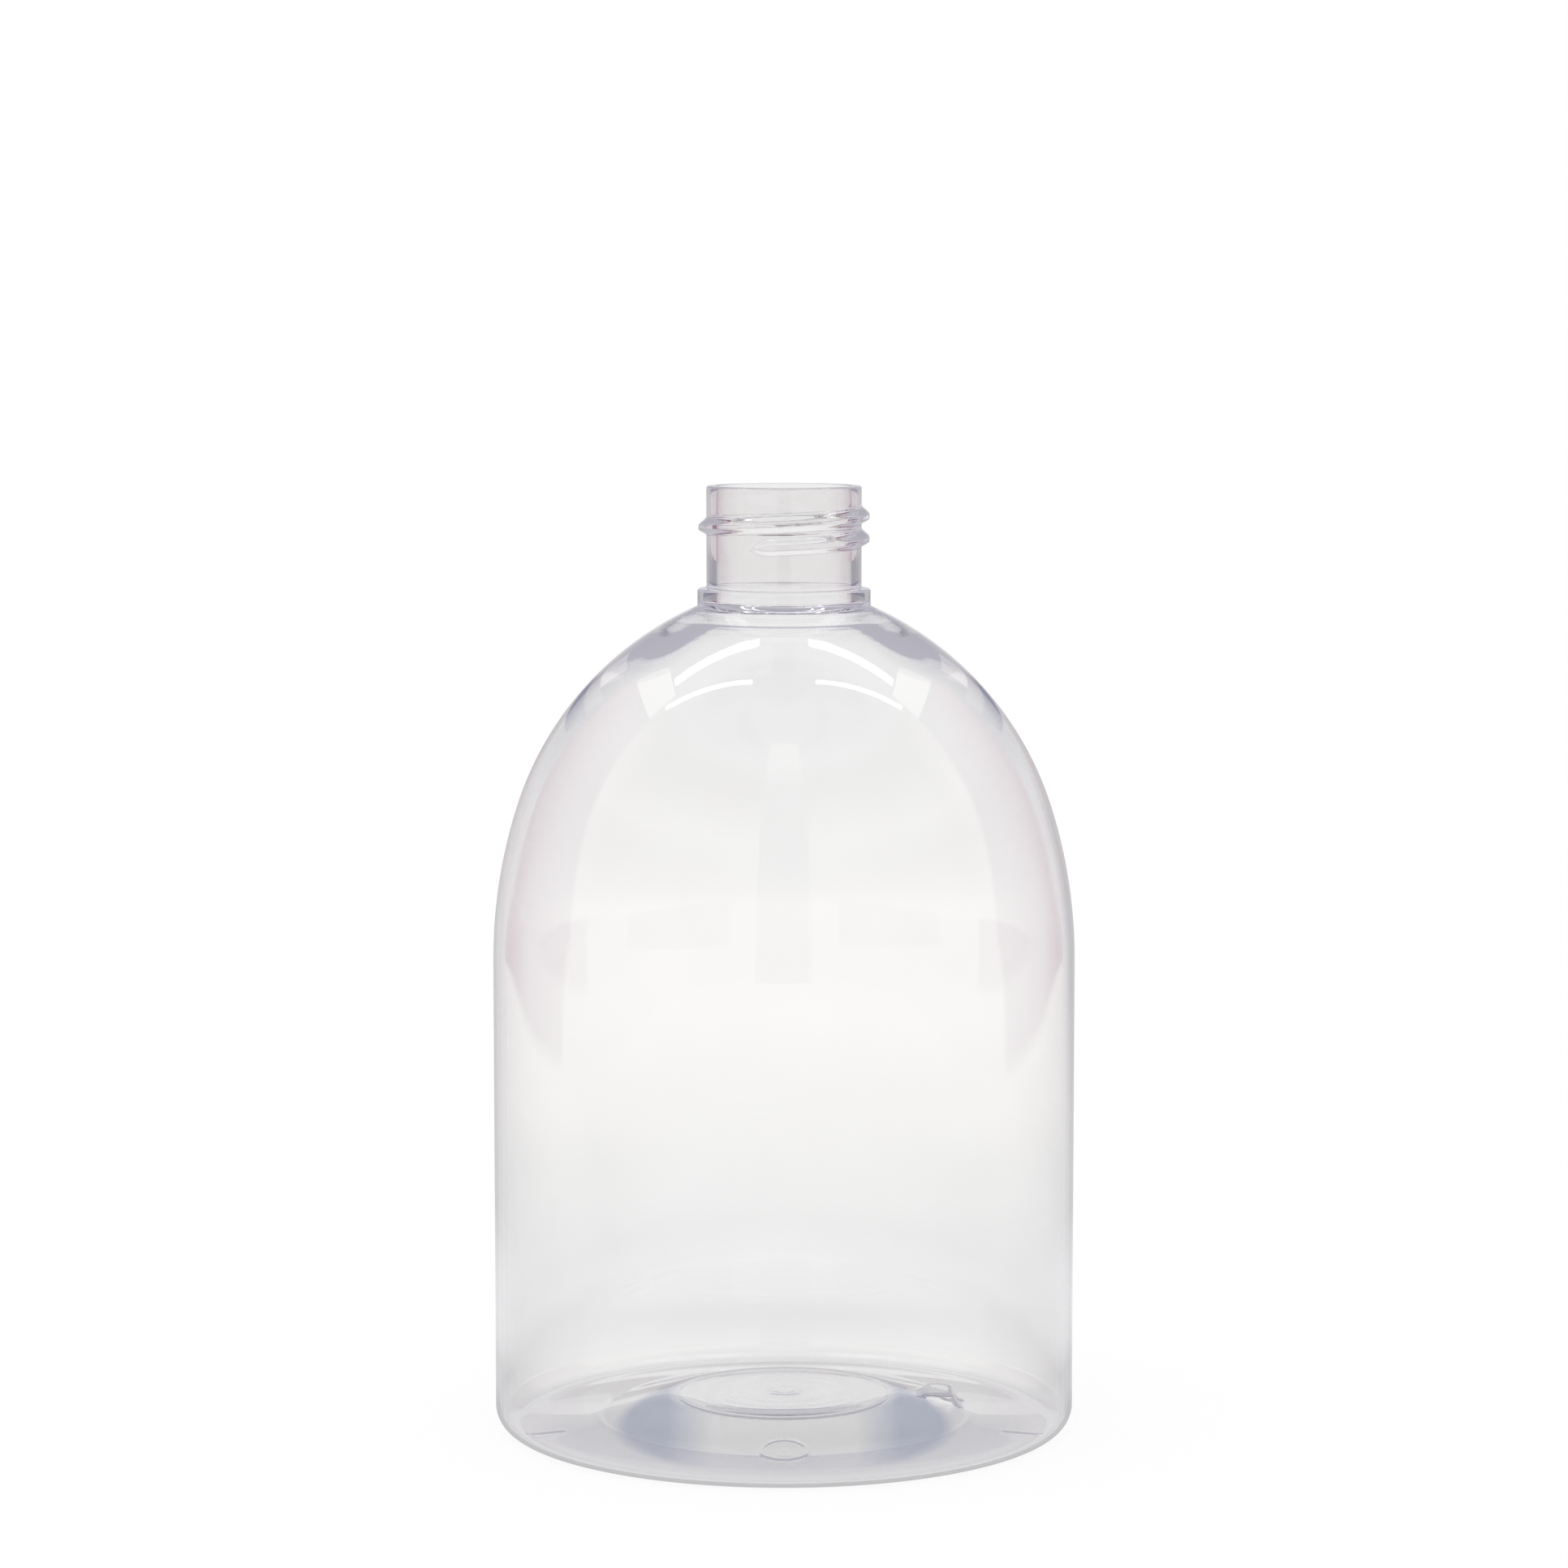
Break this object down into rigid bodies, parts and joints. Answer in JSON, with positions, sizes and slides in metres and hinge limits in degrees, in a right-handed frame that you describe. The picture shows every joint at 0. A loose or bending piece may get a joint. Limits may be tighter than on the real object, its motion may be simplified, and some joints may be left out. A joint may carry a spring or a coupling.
{
  "type": "screw neck bottle",
  "caption": "Clear round one-piece blown bottle with a domed shoulder, a support ring and a short screw-threaded neck.",
  "frame": {"origin": "centre of the standing ring, on the plane the bottle stands on", "axes": "+Z out of the mouth along the bottle's axis; the mould's parting plane is XZ, with the index notch near +X"},
  "size_m": [0.0814, 0.0814, 0.1323],
  "materials": {
    "clear_pet": "clear glossy blown plastic"
  },
  "bodies": {
    "root": {"bottle": "clear_pet"}
  },
  "joints": []
}
